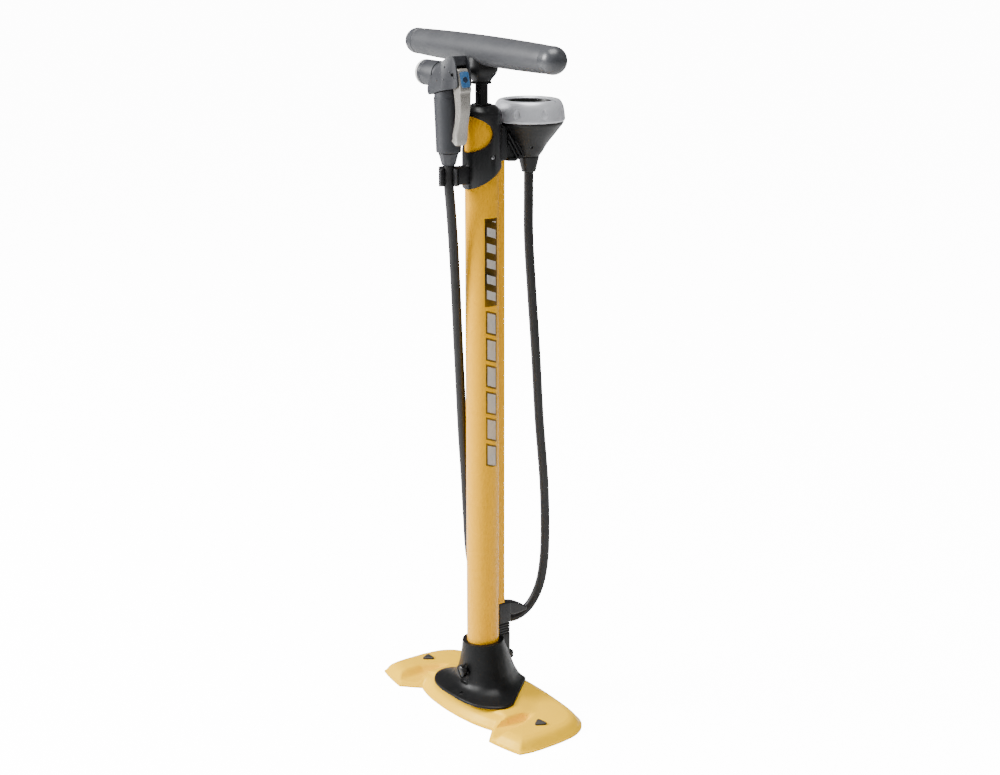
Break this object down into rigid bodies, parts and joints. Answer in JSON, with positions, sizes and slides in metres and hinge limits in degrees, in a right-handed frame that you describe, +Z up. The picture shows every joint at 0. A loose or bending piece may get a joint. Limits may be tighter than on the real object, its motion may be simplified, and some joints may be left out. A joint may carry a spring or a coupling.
{
  "type": "floor pump",
  "caption": "Upright hand pump with a winged foot, slim barrel, T handle, top-mounted pressure gauge, hose and lever pump head",
  "frame": {"origin": "On the barrel's axis at floor level, the middle of the centre foot's underside", "axes": "+Z up along the barrel; +X along the handle and the wings of the foot; +Y towards the gauge, with the pump head parked on -Y"},
  "size_m": [0.2676, 0.1401, 0.6632],
  "materials": {
    "yellow_plastic": "glossy yellow",
    "yellow_paint": "glossy yellow",
    "black_plastic": "satin black",
    "charcoal_plastic": "satin charcoal",
    "grip_plastic": "fine-grained grey",
    "head_plastic": "slate grey",
    "rubber": "matt black",
    "silver": "satin silver",
    "steel": "bright",
    "rod_steel": "black",
    "brass": "plain",
    "white_plastic": "milky white",
    "blue_inlay": "gloss blue",
    "lens": "clear"
  },
  "bodies": {
    "base": {"barrel": "yellow_paint", "barrel_plug": "black_plastic", "base_plate": "yellow_plastic", "boot": "charcoal_plastic", "bourdon_tube": "brass", "cap_screw_left": "steel", "cap_screw_right": "steel", "centre_foot": "rubber", "clamp_screw": "black_plastic", "foot_fitting": "black_plastic", "gauge_arm": "black_plastic", "gauge_dial": "white_plastic", "gauge_housing": "charcoal_plastic", "gauge_lens": "lens", "gauge_set_screw": "steel", "gauge_stem": "charcoal_plastic", "head_barb": "brass", "head_body": "head_plastic", "head_housing": "head_plastic", "hose": "rubber", "hose_barb": "brass", "hose_clip": "black_plastic", "lever_pin": "steel", "movement_plate": "brass", "nozzle_collar": "grip_plastic", "nozzle_end_ring": "white_plastic", "plug_o_ring": "rubber", "rod_bush": "charcoal_plastic", "strain_relief": "head_plastic", "top_cap": "black_plastic", "valve_seal": "rubber", "wing_foot_left": "rubber", "wing_foot_right": "rubber"},
    "piston": {"piston": "black_plastic", "piston_seal": "rubber", "piston_bolt": "steel"},
    "handle": {"rod": "rod_steel", "top_out_bumper": "rubber", "handle_grip": "grip_plastic", "handle_hub": "charcoal_plastic", "end_cap_left": "charcoal_plastic", "end_cap_right": "charcoal_plastic"},
    "bezel": {"gauge_bezel": "silver", "bezel_inner_ring": "charcoal_plastic"},
    "needle": {"gauge_needle": "black_plastic"},
    "sector": {"sector_gear": "brass"},
    "lever": {"lever": "silver", "lever_inlay": "blue_inlay"},
    "plunger": {"plunger": "brass"},
    "check_valve_body": {"check_valve": "rubber"}
  },
  "joints": [
    {"name": "rod_slide", "type": "slide", "parent": "base", "child": "piston", "axis": [0, 0, 1], "range_m": [0, 0.49]},
    {"name": "handle_turn", "type": "hinge", "parent": "piston", "child": "handle", "pos_m": [0, 0, 0.6495], "axis": [0, 0, 1], "range_deg": [-12, 12]},
    {"name": "lever_turn", "type": "hinge", "parent": "base", "child": "lever", "pos_m": [0.019, -0.0375, 0.631], "axis": [0, -1, 0], "range_deg": [0, 95]},
    {"name": "plunger_slide", "type": "slide", "parent": "base", "child": "plunger", "axis": [-1, 0, 0], "range_m": [0, 0.003]},
    {"name": "bezel_turn", "type": "hinge", "parent": "base", "child": "bezel", "pos_m": [0, 0.055, 0.59], "axis": [0, 0, 1], "continuous": true},
    {"name": "sector_turn", "type": "hinge", "parent": "base", "child": "sector", "pos_m": [0.0098, 0.055, 0.5755], "axis": [0, 0, 1], "range_deg": [0, 45]},
    {"name": "needle_turn", "type": "hinge", "parent": "base", "child": "needle", "pos_m": [0, 0.055, 0.585], "axis": [0, 0, 1], "range_deg": [-270, 0]},
    {"name": "valve_lift", "type": "slide", "parent": "base", "child": "check_valve_body", "axis": [0, 0, 1], "range_m": [0, 0.0015]}
  ],
  "couplings": [
    {"joint": "plunger_slide", "follows": "lever_turn", "m_per_rad": 0.0018},
    {"joint": "needle_turn", "follows": "sector_turn", "ratio": -6}
  ]
}
